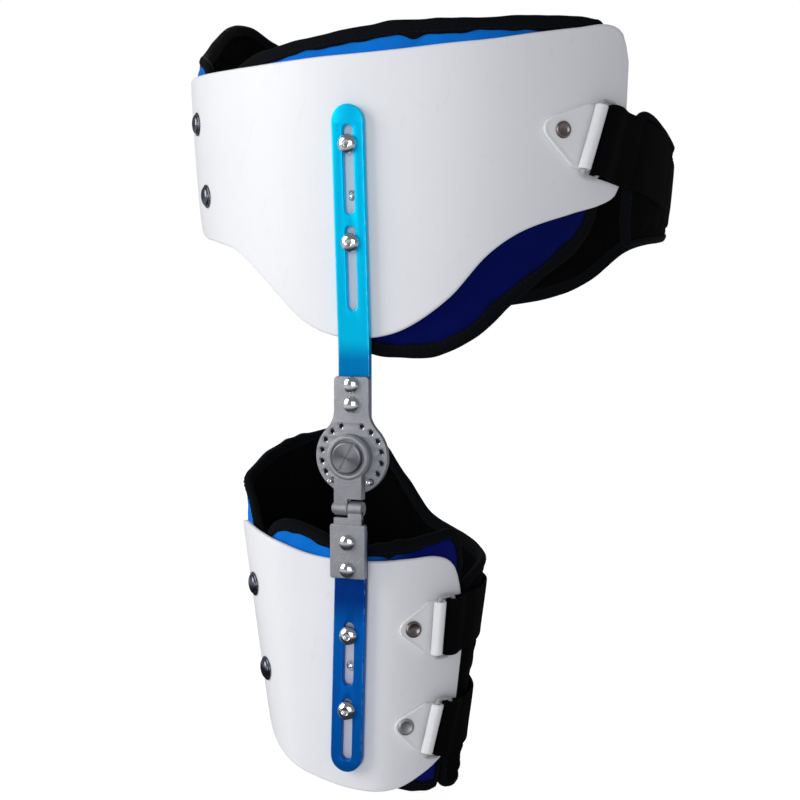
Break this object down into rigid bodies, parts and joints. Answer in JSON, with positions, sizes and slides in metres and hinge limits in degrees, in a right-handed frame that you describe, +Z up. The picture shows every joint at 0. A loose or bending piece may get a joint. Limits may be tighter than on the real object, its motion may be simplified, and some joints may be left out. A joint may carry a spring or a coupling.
{
  "type": "hip abduction brace",
  "caption": "Hip abduction brace: padded pelvic shell and thigh cuff joined by slotted bars, a drilled stop hinge for flexion and a knuckle hinge for abduction.",
  "frame": {"origin": "middle of the hollow that the pelvis fills, on its axis, about halfway up the pelvic shell", "axes": "+X to the front of the body, +Y to its middle (away from the bars), +Z up"},
  "size_m": [0.3377, 0.3197, 0.52],
  "materials": {
    "shell_plastic": "smooth thermoplastic",
    "bar_blue": "blue anodised",
    "hinge_steel": "satin grey",
    "screw_chrome": "polished",
    "liner_fabric": "brushed knit over foam, blue outside and black inside",
    "strap_fabric": "woven webbing",
    "ring_plastic": "satin"
  },
  "bodies": {
    "pelvis": {"pelvic_shell": "shell_plastic", "pelvic_liner": "liner_fabric", "pelvic_belt": "liner_fabric", "pelvic_strap": "strap_fabric", "pelvic_chafe_tab": "shell_plastic", "pelvic_ring": "ring_plastic", "pelvic_chafe_rivet": "screw_chrome", "pelvic_rivet_1": "screw_chrome", "pelvic_rivet_2": "screw_chrome", "upper_bar_screw_1": "screw_chrome", "upper_bar_screw_2": "screw_chrome", "upper_bar_insert": "hinge_steel"},
    "upper": {"upper_bar": "bar_blue", "hinge_head": "hinge_steel", "hinge_head_screw_1": "screw_chrome", "hinge_head_screw_2": "screw_chrome", "stop_pin_rear": "hinge_steel", "stop_pin_front": "hinge_steel", "hinge_pivot_screw": "hinge_steel"},
    "arm": {"hinge_arm": "hinge_steel", "abduction_pin": "hinge_steel"},
    "lower": {"hinge_leaf": "hinge_steel", "hinge_leaf_screw_1": "screw_chrome", "hinge_leaf_screw_2": "screw_chrome", "lower_bar": "bar_blue"},
    "thigh": {"thigh_shell": "shell_plastic", "thigh_liner": "liner_fabric", "thigh_pad": "liner_fabric", "thigh_rivet_1": "screw_chrome", "thigh_rivet_2": "screw_chrome", "lower_bar_screw_1": "screw_chrome", "lower_bar_screw_2": "screw_chrome", "lower_bar_insert": "hinge_steel", "thigh_upper_strap": "strap_fabric", "thigh_upper_chafe_tab": "shell_plastic", "thigh_upper_ring": "ring_plastic", "thigh_upper_chafe_rivet": "screw_chrome", "thigh_lower_strap": "strap_fabric", "thigh_lower_chafe_tab": "shell_plastic", "thigh_lower_ring": "ring_plastic", "thigh_lower_chafe_rivet": "screw_chrome"}
  },
  "joints": [
    {"name": "pelvic_bar_slide", "type": "slide", "parent": "pelvis", "child": "upper", "axis": [0, -0.0743, 0.9972], "range_m": [-0.006, 0.037]},
    {"name": "hip_flexion", "type": "hinge", "parent": "upper", "child": "arm", "pos_m": [0, -0.157, -0.165], "axis": [0, 1, 0], "range_deg": [-6.5, 6.5]},
    {"name": "hip_abduction", "type": "hinge", "parent": "arm", "child": "lower", "pos_m": [0, -0.157, -0.1965], "axis": [-1, 0, 0], "range_deg": [-10, 40]},
    {"name": "thigh_bar_slide", "type": "slide", "parent": "lower", "child": "thigh", "axis": [0, -0.0678, -0.9977], "range_m": [-0.003, 0.027]}
  ]
}
